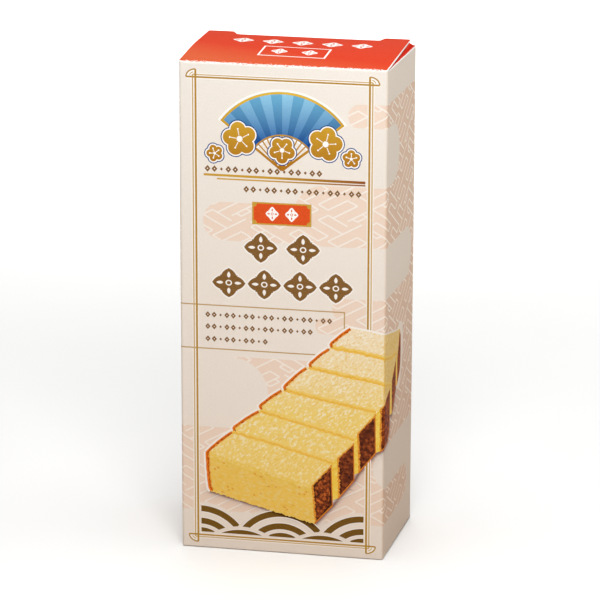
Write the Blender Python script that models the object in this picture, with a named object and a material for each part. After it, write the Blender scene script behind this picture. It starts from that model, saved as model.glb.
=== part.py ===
"""A shut tuck-end paperboard carton, standing upright.

The four side panels lean a little sideways against each other, as a folded box does when it isn't square.
A lid panel hinges on the front's top edge and stands a few degrees open behind, held by a tuck that goes down
inside the back panel. The lid's two rear ends are ears, free of the tuck. A dust flap shows under it at each side.
The same closure, pressed flat, is the base. Metres, +Z up, front towards -Y, origin under the middle of the carton.
"""

import math

import bmesh
import bpy
from mathutils import Vector

# Driving dimensions of the box
PANEL_WIDTH = 0.083
PANEL_DEPTH = 0.054
HEIGHT = 0.200
RACK = math.radians(2.3)
BOARD = 0.0005
CREASE_RADIUS = 0.0009

# Lid, its ears and its tuck
LID_LIFT = math.radians(3.2)
LID_ARCH = math.radians(2.6)
LID_SIDE_GAP = 0.0004
LID_BACK_GAP = 0.0002
LID_LENGTH = PANEL_DEPTH - CREASE_RADIUS - LID_BACK_GAP
EAR_LENGTH = 0.0105
EAR_CURL = 0.0005
FOLD_RADIUS = 0.0020
TUCK_GAP = 0.0002

# Dust flaps. Their arch is highest nearer the crease than the free edge, by the skew.
FLAP_REACH = 0.012
FLAP_ARCH = 0.0010
FLAP_ARCH_SKEW = 0.7
FLAP_CLEAR = 0.0014

# How far the side panels' ends stand back from the closures, above and below
TOP_STEP = 0.0001
BASE_STEP = 0.0003

# Overlap that lets neighbouring shapes join, how far a cutter runs past them, and the least offset between faces
JOIN = 0.0010
CUT_CLEAR = 0.0030
CORE_MARGIN = 0.0002
HAIR = 0.00005

# Facets
ARC_STEPS = 6
PANEL_STEPS = 10
FLAP_STEPS = 8

BOARD_COLOUR = (0.83, 0.75, 0.66, 1.0)
BOARD_ROUGHNESS = 0.42

HALF_DEPTH = PANEL_DEPTH * math.cos(RACK) / 2
FRONT_Y = -HALF_DEPTH
BACK_Y = HALF_DEPTH
TUCK_Y = BACK_Y - BOARD - TUCK_GAP


def clear_objects():
    for item in list(bpy.data.objects):
        bpy.data.objects.remove(item, do_unlink=True)


def board_material():
    material = bpy.data.materials.new("coated_board")
    material.use_nodes = True
    shader = material.node_tree.nodes["Principled BSDF"]
    shader.inputs["Base Color"].default_value = BOARD_COLOUR
    shader.inputs["Roughness"].default_value = BOARD_ROUGHNESS
    shader.inputs["Metallic"].default_value = 0.0
    return material


def side_x(side, y, inset=0.0):
    """X of a side panel's outer face at depth y. side is 1 for the right panel and -1 for the left."""
    return side * (PANEL_WIDTH / 2 - inset / math.cos(RACK)) + math.tan(RACK) * y


def loft(name, rings):
    """One closed body through rings of equal length, with flat ends."""
    body = bmesh.new()
    rows = [[body.verts.new(point) for point in ring] for ring in rings]
    count = len(rows[0])
    for low, high in zip(rows, rows[1:]):
        for k in range(count):
            after = (k + 1) % count
            body.faces.new((low[k], low[after], high[after], high[k]))
    body.faces.new(list(reversed(rows[0])))
    body.faces.new(rows[-1])
    bmesh.ops.recalc_face_normals(body, faces=body.faces)
    mesh = bpy.data.meshes.new(name)
    body.to_mesh(mesh)
    body.free()
    shape = bpy.data.objects.new(name, mesh)
    bpy.context.scene.collection.objects.link(shape)
    return shape


def section(z, around):
    """Outline of the sleeve at height z, its front and sides drawn in by around."""
    radius = max(CREASE_RADIUS - around, HAIR)
    lean = -RACK
    corners = (
        (1, FRONT_Y + around + radius, -math.pi / 2, lean),
        (1, BACK_Y - radius, lean, math.pi / 2),
        (-1, BACK_Y - radius, math.pi / 2, math.pi + lean),
        (-1, FRONT_Y + around + radius, math.pi + lean, 1.5 * math.pi),
    )
    outline = []
    for side, y, first, last in corners:
        x = side_x(side, y, around + radius)
        for k in range(ARC_STEPS + 1):
            angle = first + (last - first) * k / ARC_STEPS
            outline.append(Vector((x + radius * math.cos(angle), y + radius * math.sin(angle), z)))
    return outline


def sleeve():
    """The four panels as one solid block, rounded where the closures and flaps fold away from them."""
    rings = []
    for k in range(ARC_STEPS + 1):
        turn = math.pi / 2 * k / ARC_STEPS
        drawn_in = CREASE_RADIUS * (1 - math.sin(turn))
        drop = (CREASE_RADIUS - BASE_STEP) * (1 - math.cos(turn))
        rings.append(section(BASE_STEP + drop, drawn_in))
    for k in range(ARC_STEPS + 1):
        turn = math.pi / 2 * k / ARC_STEPS
        drawn_in = CREASE_RADIUS * (1 - math.cos(turn))
        rise = (CREASE_RADIUS - TOP_STEP) * math.sin(turn)
        rings.append(section(HEIGHT - CREASE_RADIUS + rise, drawn_in))
    return loft("carton", rings)


def panel_curve(lift, arch, depth=0.0, curl=0.0):
    """Side view of a closure panel, from the hinge's crease to its free rear edge, as (y, z) points.

    depth is how far below the outer face the curve lies, and curl how far the rear edge turns up.
    """
    centre_y = FRONT_Y + CREASE_RADIUS
    centre_z = HEIGHT - CREASE_RADIUS
    radius = CREASE_RADIUS - depth
    turn = math.pi / 2 - lift - arch
    points = []
    for k in range(ARC_STEPS + 1):
        angle = turn * k / ARC_STEPS
        points.append((centre_y - radius * math.cos(angle), centre_z + radius * math.sin(angle)))
    start = lift + arch
    y = centre_y - CREASE_RADIUS * math.sin(start)
    z = centre_z + CREASE_RADIUS * math.cos(start)
    step = LID_LENGTH / PANEL_STEPS
    for k in range(1, PANEL_STEPS + 1):
        share = k / PANEL_STEPS
        middle = start - 2 * arch * (share - 0.5 / PANEL_STEPS)
        slope = start - 2 * arch * share
        y += step * math.cos(middle)
        z += step * math.sin(middle)
        points.append((y + depth * math.sin(slope), z - depth * math.cos(slope) + curl * share * share))
    return points


def curve_height(points, y):
    """Height of a side view curve at depth y."""
    for (y0, z0), (y1, z1) in zip(points, points[1:]):
        if y0 <= y <= y1:
            return z0 + (z1 - z0) * (y - y0) / (y1 - y0)
    return points[-1][1]


def flipped(z, upside_down):
    return HEIGHT - z if upside_down else z


def closure_panel(name, lift, arch, curl, upside_down=False):
    """The lid or base panel with its crease, a bent plate whose rear corners may curl.

    Its crease starts a hair inside the front panel's face, and its outer face lies at the true height.
    """
    left = side_x(-1, FRONT_Y) + LID_SIDE_GAP
    right = side_x(1, FRONT_Y) - LID_SIDE_GAP
    stations = ((left, curl), (left + EAR_LENGTH, 0.0), (right - EAR_LENGTH, 0.0), (right, curl))
    rings = []
    for x, rise in stations:
        outer = panel_curve(lift, arch, HAIR, rise)
        inner = panel_curve(lift, arch, BOARD, rise)
        outline = outer + inner[::-1]
        rings.append([Vector((x, y, flipped(z + HAIR, upside_down))) for y, z in outline])
    return loft(name, rings)


def tuck_range(margin=0.0):
    """Left and right ends of the tuck, between the two ears."""
    left = side_x(-1, FRONT_Y) + LID_SIDE_GAP + EAR_LENGTH + margin
    right = side_x(1, FRONT_Y) - LID_SIDE_GAP - EAR_LENGTH - margin
    return left, right


def lid_core(lift, arch):
    """What is under the lid between the ears, up to the middle of the board."""
    middle = panel_curve(lift, arch, BOARD / 2)
    rear = TUCK_Y - HAIR
    low = HEIGHT - CREASE_RADIUS - JOIN
    outline = [point for point in middle if point[0] < rear]
    outline += [(rear, curve_height(middle, rear)), (rear, low), (middle[0][0] + JOIN, low)]
    rings = [[Vector((x, y, z)) for y, z in outline] for x in tuck_range(CORE_MARGIN)]
    return loft("lid_core", rings)


def fold_cutter(name, lift, arch, step, upside_down=False):
    """Cuts the panel's rear edge between the ears back to the rounded fold where the tuck turns in."""
    centre_y = TUCK_Y - FOLD_RADIUS
    top = curve_height(panel_curve(lift, arch), centre_y)
    centre_z = top - FOLD_RADIUS
    outline = []
    for k in range(ARC_STEPS + 1):
        angle = math.pi / 2 * (1 - k / ARC_STEPS)
        outline.append((centre_y + FOLD_RADIUS * math.cos(angle), centre_z + FOLD_RADIUS * math.sin(angle)))
    floor = HEIGHT - step + HAIR
    outline = [point for point in outline if point[1] > floor]
    # The arc starts a hair above the panel, so that the cut crosses its face and doesn't graze it
    outline[0] = (outline[0][0], outline[0][1] + HAIR)
    outline.append((outline[-1][0], floor))
    rear = BACK_Y + CUT_CLEAR
    outline += [(rear, floor), (rear, top + CUT_CLEAR), (centre_y, top + CUT_CLEAR)]
    rings = [[Vector((x, y, flipped(z, upside_down))) for y, z in outline] for x in tuck_range()]
    cutter = loft(name, rings)
    cutter.hide_render = True
    cutter.display_type = "WIRE"
    return cutter


def dust_flap(name, side):
    """A flap folded in from a side panel: a round crease, then an arch that is highest at the rear."""
    across = Vector((-side * math.cos(RACK), side * math.sin(RACK), 0.0))
    first = FRONT_Y + FLAP_CLEAR
    last = BACK_Y - FLAP_CLEAR
    floor = HEIGHT - CREASE_RADIUS - JOIN
    rings = []
    for k in range(FLAP_STEPS + 1):
        share = k / FLAP_STEPS
        y = first + (last - first) * share
        base = Vector((side_x(side, y), y, 0.0))
        arch = FLAP_ARCH * share
        outline = [(HAIR, floor)]
        for j in range(ARC_STEPS + 1):
            turn = math.pi / 2 * j / ARC_STEPS
            inward = CREASE_RADIUS * (1 - math.cos(turn)) + HAIR
            outline.append((inward, HEIGHT - CREASE_RADIUS + CREASE_RADIUS * math.sin(turn)))
        for j in range(1, ARC_STEPS + 1):
            reach = j / ARC_STEPS
            inward = CREASE_RADIUS + HAIR + (FLAP_REACH - CREASE_RADIUS) * reach
            rise = arch * math.sin(math.pi * reach**FLAP_ARCH_SKEW)
            outline.append((inward, HEIGHT + rise - HAIR * reach))
        outline.append((FLAP_REACH, floor))
        rings.append([base + across * inward + Vector((0.0, 0.0, z)) for inward, z in outline])
    return loft(name, rings)


def join_shapes(target, others):
    for other in others:
        boolean = target.modifiers.new("join_" + other.name, "BOOLEAN")
        boolean.operation = "UNION"
        boolean.solver = "EXACT"
        boolean.object = other
        other.hide_render = True
        other.display_type = "WIRE"


def cut_shapes(target, cutters):
    for cutter in cutters:
        boolean = target.modifiers.new("cut_" + cutter.name, "BOOLEAN")
        boolean.operation = "DIFFERENCE"
        boolean.solver = "EXACT"
        boolean.object = cutter


def build():
    clear_objects()
    carton = sleeve()
    lid = closure_panel("lid_panel", LID_LIFT, LID_ARCH, EAR_CURL)
    base = closure_panel("base_panel", 0.0, 0.0, 0.0, upside_down=True)
    core = lid_core(LID_LIFT, LID_ARCH)
    flaps = [dust_flap("flap_right", 1), dust_flap("flap_left", -1)]
    join_shapes(carton, [core, *flaps, lid, base])
    cut_shapes(
        carton,
        [
            fold_cutter("lid_fold", LID_LIFT, LID_ARCH, TOP_STEP),
            fold_cutter("base_fold", 0.0, 0.0, BASE_STEP, upside_down=True),
        ],
    )
    carton.data.materials.append(board_material())


build()
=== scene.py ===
"""The look of the shut paperboard carton: one printed, creased and folded sheet of coated board.

The board is laid out flat in millimetres, u round the sleeve from the front panel's left edge and v up from
the base. The print is drawn there as fields of colour. The sheet is cut into triangles along those fields and
then folded round the creases, so that every field of ink is a part of the one board's surface.
"""

from math import acos, atan2, cos, hypot, pi, radians, sin, tan

import bpy
import numpy as np
from mathutils import Matrix, Vector
from mathutils.geometry import delaunay_2d_cdt


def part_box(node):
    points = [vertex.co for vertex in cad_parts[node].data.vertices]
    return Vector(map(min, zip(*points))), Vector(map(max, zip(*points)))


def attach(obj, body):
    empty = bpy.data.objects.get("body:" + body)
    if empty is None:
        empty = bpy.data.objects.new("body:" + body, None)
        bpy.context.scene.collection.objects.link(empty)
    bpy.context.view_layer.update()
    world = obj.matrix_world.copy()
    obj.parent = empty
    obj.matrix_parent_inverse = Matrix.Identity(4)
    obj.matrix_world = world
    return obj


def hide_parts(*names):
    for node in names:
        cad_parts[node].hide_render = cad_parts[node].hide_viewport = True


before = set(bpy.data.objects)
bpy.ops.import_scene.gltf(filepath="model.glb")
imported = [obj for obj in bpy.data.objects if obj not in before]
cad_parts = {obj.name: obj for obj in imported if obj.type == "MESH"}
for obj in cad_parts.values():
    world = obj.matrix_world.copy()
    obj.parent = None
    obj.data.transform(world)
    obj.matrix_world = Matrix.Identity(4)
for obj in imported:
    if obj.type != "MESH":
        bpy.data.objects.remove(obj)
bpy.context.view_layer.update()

MM = 0.001
SEED = 7

# The carton's driving dimensions, in millimetres and degrees, as the CAD solid has them
WIDTH = 83.0
HEIGHT = 200.0
RACK = radians(2.3)
BOARD = 0.5
CREASE = 0.9
SIDE_CREASE = 1.3
LID_LIFT = radians(2.35)
LID_ARCH = radians(5.4)
LID_SIDE_GAP = 0.05
LID_LENGTH = 52.9
EAR = 10.5
EAR_SLANT = 1.75
EAR_CURL = (0.8, 0.65)
EAR_STEP = 1.5
LID_LEFT_BOW = 1.0
LID_LEFT_SHIFT = 0.7
LID_REAR_DROP = 0.45
TOP_RISE = (0.3, 0.5, 0.1, 0.5, 0.3)
TOP_RISE_START = 150.0
FOLD = 2.4
TUCK = 13.0
TUCK_GAP = 0.2
FLAP_LENGTH = 34.0
FLAP_ARCH = 1.75
FLAP_ARCH_LENGTH = 12.0
FLAP_ARCH_SKEW = 0.48
FLAP_CLEAR = 1.3
FLAP_DROP = 0.5
BASE_FLAP_RISE = 0.55
GLUE_FLAP = 12.0
BULGE = 0.3

LOW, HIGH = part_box("carton")
FRONT_Y = LOW.y / MM
BACK_Y = HIGH.y / MM
DEPTH = (BACK_Y - FRONT_Y) / cos(RACK)
LEFT_U = -(DEPTH - BOARD)
RIGHT_U = WIDTH + DEPTH
END_U = RIGHT_U + WIDTH
EDGE_V = HEIGHT - 0.25
EAR_END = LID_SIDE_GAP + EAR + EAR_SLANT
NARROW = ((LEFT_U, 0.0), (WIDTH, RIGHT_U))


def side_x(side, y):
    return side * WIDTH / 2 + tan(RACK) * y


# Folding the sheet

# Sharp corners of the sleeve as (u, x, y), from the glue flap's end to the back panel's free edge
LEFT_BACK_X = side_x(-1, BACK_Y) - tan(RACK) * BOARD
NODES = (
    (LEFT_U - GLUE_FLAP, LEFT_BACK_X + GLUE_FLAP, BACK_Y - BOARD),
    (LEFT_U, LEFT_BACK_X, BACK_Y - BOARD),
    (0.0, side_x(-1, FRONT_Y), FRONT_Y),
    (WIDTH, side_x(1, FRONT_Y), FRONT_Y),
    (RIGHT_U, side_x(1, BACK_Y), BACK_Y),
    (END_U, side_x(-1, BACK_Y), BACK_Y),
)
SPANS = [np.subtract(end[1:], start[1:]) for start, end in zip(NODES, NODES[1:])]
WAYS = [span / np.linalg.norm(span) for span in SPANS]
OUTS = [np.array([way[1], -way[0]]) for way in WAYS]


def wrap(u, flat):
    """Point and outward normal in plan for each u. flat is 1 where the sheet ignores the vertical creases."""
    point = np.zeros((len(u), 2))
    normal = np.zeros((len(u), 2))
    for k, (way, out) in enumerate(zip(WAYS, OUTS)):
        start, end = NODES[k], NODES[k + 1]
        mine = (u >= start[0]) if k else (u >= start[0] - 1)
        mine &= (u < end[0]) if k < len(WAYS) - 1 else True
        point[mine] = np.array(start[1:]) + (u[mine] - start[0])[:, None] * way
        normal[mine] = out
    for node, before, after in zip(NODES[1:-1], OUTS, OUTS[1:]):
        turn = acos(float(np.clip(before @ after, -1, 1)))
        reach = SIDE_CREASE * tan(turn / 2)
        near = np.abs(u - node[0]) < reach
        middle = (before + after) / np.linalg.norm(before + after)
        centre = np.array(node[1:]) - middle * SIDE_CREASE / cos(turn / 2)
        angle = (u[near] - node[0]) / reach * turn / 2
        c, s = np.cos(angle), np.sin(angle)
        out = np.stack([middle[0] * c - middle[1] * s, middle[0] * s + middle[1] * c], 1)
        keep = flat[near][:, None]
        point[near] = point[near] * keep + (centre + SIDE_CREASE * out) * (1 - keep)
        normal[near] = normal[near] * keep + out * (1 - keep)
    return point, normal


def trace(pieces, s):
    """Inset, height and turn at lengths s along (length, turn) pieces of a side view, starting upwards."""
    inset, height, turned = np.zeros_like(s), np.minimum(s, 0.0), np.zeros_like(s)
    x = z = heading = start = 0.0
    for length, turn in pieces:
        inside = s > start
        part = np.clip(s - start, 0, length)[inside]
        if turn:
            rate = turn / length
            angle = heading + rate * part
            inset[inside] = x + (np.cos(heading) - np.cos(angle)) / rate
            height[inside] = z + (np.sin(angle) - np.sin(heading)) / rate
            turned[inside] = angle
            x += (cos(heading) - cos(heading + turn)) / rate
            z += (sin(heading + turn) - sin(heading)) / rate
        else:
            inset[inside] = x + sin(heading) * part
            height[inside] = z + cos(heading) * part
            turned[inside] = heading
            x += sin(heading) * length
            z += cos(heading) * length
        heading += turn
        start += length
    return inset, height, turned


def closure_pieces(lift, arch, tuck):
    """The lid's or base's side view: crease, panel and, for the part between the ears, fold and tuck."""
    turn = pi / 2 - lift - arch
    first = (CREASE * turn, turn)
    if not tuck:
        return [first, (LID_LENGTH, 2 * arch)]
    start_y = FRONT_Y + CREASE - CREASE * sin(lift + arch)
    fold_y = BACK_Y - BOARD - TUCK_GAP - FOLD
    length = (fold_y - start_y) / cos(lift)
    share = length / LID_LENGTH
    left = pi - turn - 2 * arch * share
    return [first, (length, 2 * arch * share), (FOLD * left, left), (TUCK, 0.0)]


def fold_start(lift, arch):
    """V at which the panel starts to turn down into its tuck, measured past HEIGHT."""
    turn = pi / 2 - lift - arch
    pieces = closure_pieces(lift, arch, True)
    return pieces[0][0] + pieces[1][0] - CREASE * tan(turn / 2)


def smooth(x):
    x = np.clip(x, 0, 1)
    return x * x * (3 - 2 * x)


def end_fold(u, v, upper):
    """Folds one end of the sheet. Returns inset, height and turn, with heights from that end's own edge."""
    lift, arch = (LID_LIFT, LID_ARCH) if upper else (0.0, 0.0)
    inset, height, turned = np.zeros_like(v), v - HEIGHT, np.zeros_like(v)
    front = (u > 0) & (u < WIDTH)
    from_side = np.minimum(u, WIDTH - u)
    on_ear = (v - HEIGHT > fold_start(lift, arch) - 0.01) & (from_side < EAR_END + 0.1)
    reach = CREASE * tan((pi / 2 - lift - arch) / 2)
    for tuck, wanted in ((False, on_ear), (True, ~on_ear)):
        mine = front & (v > HEIGHT - reach) & wanted
        i, z, t = trace(closure_pieces(lift, arch, tuck), v[mine] - (HEIGHT - reach))
        inset[mine], height[mine], turned[mine] = i, z - reach, t
    if upper:
        share = np.clip((v - HEIGHT) / LID_LENGTH, 0, 1) * front
        side = smooth((EAR + EAR_SLANT - from_side) / EAR_STEP) * front
        curl = np.where(u < WIDTH / 2, *EAR_CURL)
        bow = LID_LEFT_BOW * (1 - np.clip(u / WIDTH, 0, 1)) ** 2 * np.sin(pi * share**0.8)
        height = height + curl * share**6 * side + bow * front
    for low, high in NARROW:
        mine = (u > low + CREASE) & (u < high - CREASE) & (v > HEIGHT - CREASE)
        depth = (u[mine] - low) / (high - low)
        rear = depth if low > 0 else 1 - depth
        rise = (FLAP_ARCH if upper else 0.0) * rear
        s = v[mine] - (HEIGHT - CREASE)
        angle = np.where(s < CREASE * pi / 2, s / CREASE, pi / 2)
        beyond = np.maximum(s - CREASE * pi / 2, 0)
        hump = np.clip(beyond / FLAP_ARCH_LENGTH, 0, 1)
        bump = rise * np.sin(pi * hump**FLAP_ARCH_SKEW)
        step = 0.02
        ahead = rise * np.sin(pi * np.clip(hump + step, 0, 1) ** FLAP_ARCH_SKEW)
        inset[mine] = CREASE * (1 - np.cos(angle)) + beyond
        height[mine] = -CREASE + CREASE * np.sin(angle) + bump
        turned[mine] = angle - np.arctan((ahead - bump) / (step * FLAP_ARCH_LENGTH)) * (hump > 0)
        drop = FLAP_DROP * np.exp(-rear * DEPTH / 6.0) if upper else BASE_FLAP_RISE
        height[mine] -= drop * smooth(s / CREASE * 2)
    return inset, height, turned


def bulge(u, v):
    """How far the filled carton's panels stand out between their creases."""
    out = np.zeros_like(u)
    for (low, _, _), (high, _, _) in zip(NODES[1:], NODES[2:]):
        share = np.clip((u - low) / (high - low), 0, 1)
        out += np.sin(pi * share) * (share > 0) * (share < 1)
    up = np.clip(v / HEIGHT, 0, 1)
    return BULGE * out * np.sin(pi * up) ** 0.7


def top_rise(u, v):
    """How much higher the pictured carton's top stands, corner by corner, than a level one."""
    rise = np.interp(u, [LEFT_U, 0.0, WIDTH, RIGHT_U, END_U], TOP_RISE)
    return rise * smooth((v - TOP_RISE_START) / (HEIGHT - TOP_RISE_START))


def folded(u, v, depth=0.0):
    """Places of sheet points in space, in millimetres, at a depth below the printed face."""
    upper = v > HEIGHT / 2
    inset, height, turned = end_fold(u, np.where(upper, v, HEIGHT - v), True)
    low = end_fold(u, HEIGHT - v, False)
    inset = np.where(upper, inset, low[0])
    turned = np.where(upper, turned, low[2])
    z = np.where(upper, HEIGHT + height, -low[1])
    flat = smooth(inset / CREASE)
    point, normal = wrap(u, flat)
    reach = np.clip((v - HEIGHT) / LID_LENGTH, 0, 1) * (u > 0) * (u < WIDTH)
    across = np.clip(u / WIDTH, 0, 1)
    point[:, 0] -= LID_LEFT_SHIFT * smooth(reach * 6) * (1 - 0.8 * reach) * (1 - across) ** 4
    z += top_rise(u, v) - LID_REAR_DROP * reach
    sign = np.where(upper, 1.0, -1.0)
    back = inset + depth * np.cos(turned) - bulge(u, v)
    place = np.empty((len(u), 3))
    place[:, :2] = point - normal * back[:, None]
    place[:, 2] = z - sign * depth * np.sin(turned)
    return place, np.column_stack([normal * np.cos(turned)[:, None], sign * np.sin(turned)])


# Laying out the flat sheet

def closure_outline(lift, arch):
    """Upper edge of the front panel's closure, from left to right, as (u, v)."""
    fold = HEIGHT + fold_start(lift, arch)
    turn = pi / 2 - lift - arch
    ear_v = HEIGHT - CREASE * tan(turn / 2) + CREASE * turn + LID_LENGTH
    left = [
        (LID_SIDE_GAP, EDGE_V), (LID_SIDE_GAP, ear_v - 0.6), (LID_SIDE_GAP + 0.6, ear_v),
        (LID_SIDE_GAP + EAR - 0.5, ear_v), (LID_SIDE_GAP + EAR, ear_v - 0.4), (EAR_END, fold),
        (EAR_END + 0.25, fold), (EAR_END + 0.8, fold + 3),
        (EAR_END + 4.0, fold + FOLD * pi / 2 + TUCK - 1),
    ]
    return left + [(WIDTH - u, v) for u, v in reversed(left)]


def flap_outline(low, high):
    a, b = low + FLAP_CLEAR, high - FLAP_CLEAR
    top = HEIGHT + FLAP_LENGTH
    return [(a, EDGE_V), (a + 0.4, HEIGHT + 8), (a + 5, top - 3), (a + 8, top),
            (b - 8, top), (b - 5, top - 3), (b - 0.4, HEIGHT + 8), (b, EDGE_V)]


def end_outline(lift, arch):
    """One end of the sheet from left to right: glue flap, dust flap, closure, dust flap, back panel."""
    edge = [(LEFT_U - GLUE_FLAP, HEIGHT - 20), (LEFT_U - 1.2, HEIGHT - 10), (LEFT_U - 1.0, EDGE_V)]
    edge += flap_outline(LEFT_U, 0.0)
    edge += closure_outline(lift, arch)
    edge += flap_outline(WIDTH, RIGHT_U)
    return edge + [(RIGHT_U + CREASE, HEIGHT - 0.1), (END_U, HEIGHT - 0.1)]


def sheet_outline():
    top = end_outline(LID_LIFT, LID_ARCH)
    bottom = [(u, HEIGHT - v) for u, v in end_outline(0.0, 0.0)]
    return bottom + top[::-1]


def crease_lines():
    """Lines that the triangles must follow, so that creases and folds stay round."""
    lines = []
    for u, _, _ in NODES[1:-1]:
        for k in range(7):
            x = u + SIDE_CREASE * (k - 3) / 3
            lines.append(((x, 0.3), (x, EDGE_V)))

    def level(u0, u1, start, length, steps):
        for k in range(steps + 1):
            v = start + length * k / steps
            v = v if upper else HEIGHT - v
            lines.append(((u0, v), (u1, v)))

    for lift, arch, upper in ((LID_LIFT, LID_ARCH, True), (0.0, 0.0, False)):
        turn = pi / 2 - lift - arch
        level(LID_SIDE_GAP, WIDTH - LID_SIDE_GAP, HEIGHT - CREASE * tan(turn / 2), CREASE * turn, 6)
        fold = HEIGHT + fold_start(lift, arch)
        level(EAR_END + 1, WIDTH - EAR_END - 1, fold, FOLD * (pi / 2 + 0.05), 8)
        for low, high in NARROW:
            level(low + FLAP_CLEAR, high - FLAP_CLEAR, HEIGHT - CREASE, CREASE * pi / 2, 6)
    return lines


def grid_points(spacing=5.0):
    us = np.arange(LEFT_U - GLUE_FLAP + 2, END_U, spacing)
    vs = np.arange(-HEIGHT * 0.4, HEIGHT * 1.4, spacing)
    points = [(float(u), float(v)) for u in us for v in vs]
    for low, high in NARROW:
        for u in np.arange(low + 2, high - 2, 2.0):
            points += [(float(u), HEIGHT + 1.5 + k) for k in range(12)]
    return points


# Shapes of the print

def box(u0, v0, u1, v1):
    return [(u0, v0), (u1, v0), (u1, v1), (u0, v1)]


def disc(cu, cv, ru, rv=None, steps=48, first=0.0, last=360.0):
    """Points of an ellipse, or of an arc of it between two angles in degrees."""
    rv = ru if rv is None else rv
    count = steps if last - first >= 360 else steps + 1
    angles = [radians(first + (last - first) * k / steps) for k in range(count)]
    return [(cu + ru * cos(a), cv + rv * sin(a)) for a in angles]


def polar(cu, cv, radius, degrees):
    angle = radians(degrees)
    return (cu + radius * cos(angle), cv + radius * sin(angle))


def moved(point, across, up):
    return (point[0] + across, point[1] + up)


def beside(points, by, closed=False):
    """A polyline moved to its right by a distance."""
    path = np.array(points, float)
    if closed:
        path = np.vstack([path, path[:1]])
    way = np.diff(path, axis=0)
    way /= np.linalg.norm(way, axis=1)[:, None]
    out = np.column_stack([way[:, 1], -way[:, 0]])
    joint = np.vstack([out[:1], (out[1:] + out[:-1]) / 2, out[-1:]])
    if closed:
        joint[0] = joint[-1] = (out[0] + out[-1]) / 2
    joint /= np.maximum((joint**2).sum(1), 0.3)[:, None]
    return [(u, v) for u, v in (path + joint * by).tolist()]


def band(points, width, closed=False):
    """A stroke of constant width along a polyline."""
    one, two = beside(points, width / 2, closed), beside(points, -width / 2, closed)
    if not closed:
        return [one + two[::-1]]
    return [[one[k], one[k + 1], two[k + 1], two[k]] for k in range(len(one) - 1)]


def clip(poly, window):
    """Cuts a polygon to a window given as (u0, v0, u1, v1)."""
    for axis, limit, sign in ((0, window[0], 1), (1, window[1], 1), (0, window[2], -1), (1, window[3], -1)):
        kept = []
        for a, b in zip(poly, poly[1:] + poly[:1]):
            da, db = sign * (a[axis] - limit), sign * (b[axis] - limit)
            if da >= 0:
                kept.append(a)
            if da * db < 0:
                t = da / (da - db)
                kept.append((a[0] + t * (b[0] - a[0]), a[1] + t * (b[1] - a[1])))
        poly = kept
        if len(poly) < 3:
            return []
    return poly


def capsule(u0, v0, u1, v1, left=True, right=True):
    """A bar along u, with round ends where they are asked for."""
    radius, middle = (v1 - v0) / 2, (v0 + v1) / 2
    one = disc(u1 - radius, middle, radius, steps=16, first=-90, last=90) if right else [(u1, v0), (u1, v1)]
    two = disc(u0 + radius, middle, radius, steps=16, first=90, last=270) if left else [(u0, v1), (u0, v0)]
    return one + two


def rough(points, step, size):
    """A polyline with points every step or so, each pushed sideways by up to size, and less near the ends."""
    path = [points[0]]
    lengths = [hypot(u1 - u0, v1 - v0) for (u0, v0), (u1, v1) in zip(points, points[1:])]
    start, total = 0.0, sum(lengths)
    for (u0, v0), (u1, v1), length in zip(points, points[1:], lengths):
        count = max(1, round(length / step))
        across = ((v1 - v0) / length, -(u1 - u0) / length)
        for k in range(1, count + 1):
            share = k / count
            from_end = min(start + length * share, total - start - length * share)
            push = uniform(-size, size) * min(1.0, from_end / 1.2) if k < count else 0.0
            on_line = (u0 + (u1 - u0) * share, v0 + (v1 - v0) * share)
            path.append(moved(on_line, across[0] * push, across[1] * push))
        start += length
    return path


def meet(a, b, c, d):
    """Where the line through a and b meets the line through c and d."""
    one, two = np.subtract(b, a), np.subtract(d, c)
    gap = np.subtract(c, a)
    share = (gap[0] * two[1] - gap[1] * two[0]) / (one[0] * two[1] - one[1] * two[0])
    return (float(a[0] + one[0] * share), float(a[1] + one[1] * share))


# Painting

# The fields of ink in painting order, where later ones cover earlier ones, and the one stream of random draws
FIELDS = []
uniform = np.random.default_rng(SEED).uniform


def paint(ink_name, *polygons):
    for polygon in polygons:
        if len(polygon) >= 3:
            area = sum(a[0] * b[1] - b[0] * a[1] for a, b in zip(polygon, polygon[1:] + polygon[:1]))
            FIELDS.append((ink_name, polygon if area > 0 else polygon[::-1]))


def stroke(ink_name, points, width, closed=False):
    paint(ink_name, *band(points, width, closed))


# Faint fret pattern behind everything

FRET_SLOPE = radians(28.5)
FRET_UNIT = 4.4
FRET_LINE = 0.6
FRET_BLOCK = 6
FRET_PERIOD = 3


def fret_place(p, q):
    return (FRET_UNIT * (p - q) * cos(FRET_SLOPE), FRET_UNIT * (p + q) * sin(FRET_SLOPE))


def fret_runs():
    """Straight runs of nested key lines inside one block, as (p0, q0, p1, q1)."""
    runs = []
    for shift in range(-15, 16, FRET_PERIOD):
        for k in range(-6, 7):
            a, b = 3 * k, 2 * k + shift + 0.5
            for p0, q0, p1, q1 in ((a, b, a + 5, b), (a + 5, b, a + 5, b + 1), (a + 3, b + 1, a + 5, b + 1),
                                   (a + 3, b + 1, a + 3, b + 2)):
                p0, p1 = max(p0, -0.5), min(p1, FRET_BLOCK + 0.5)
                q0, q1 = max(q0, 0.5), min(q1, FRET_BLOCK - 0.5)
                if p0 <= p1 and q0 <= q1 and (p0, q0) != (p1, q1):
                    runs.append((p0, q0, p1, q1))
    return runs


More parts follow.
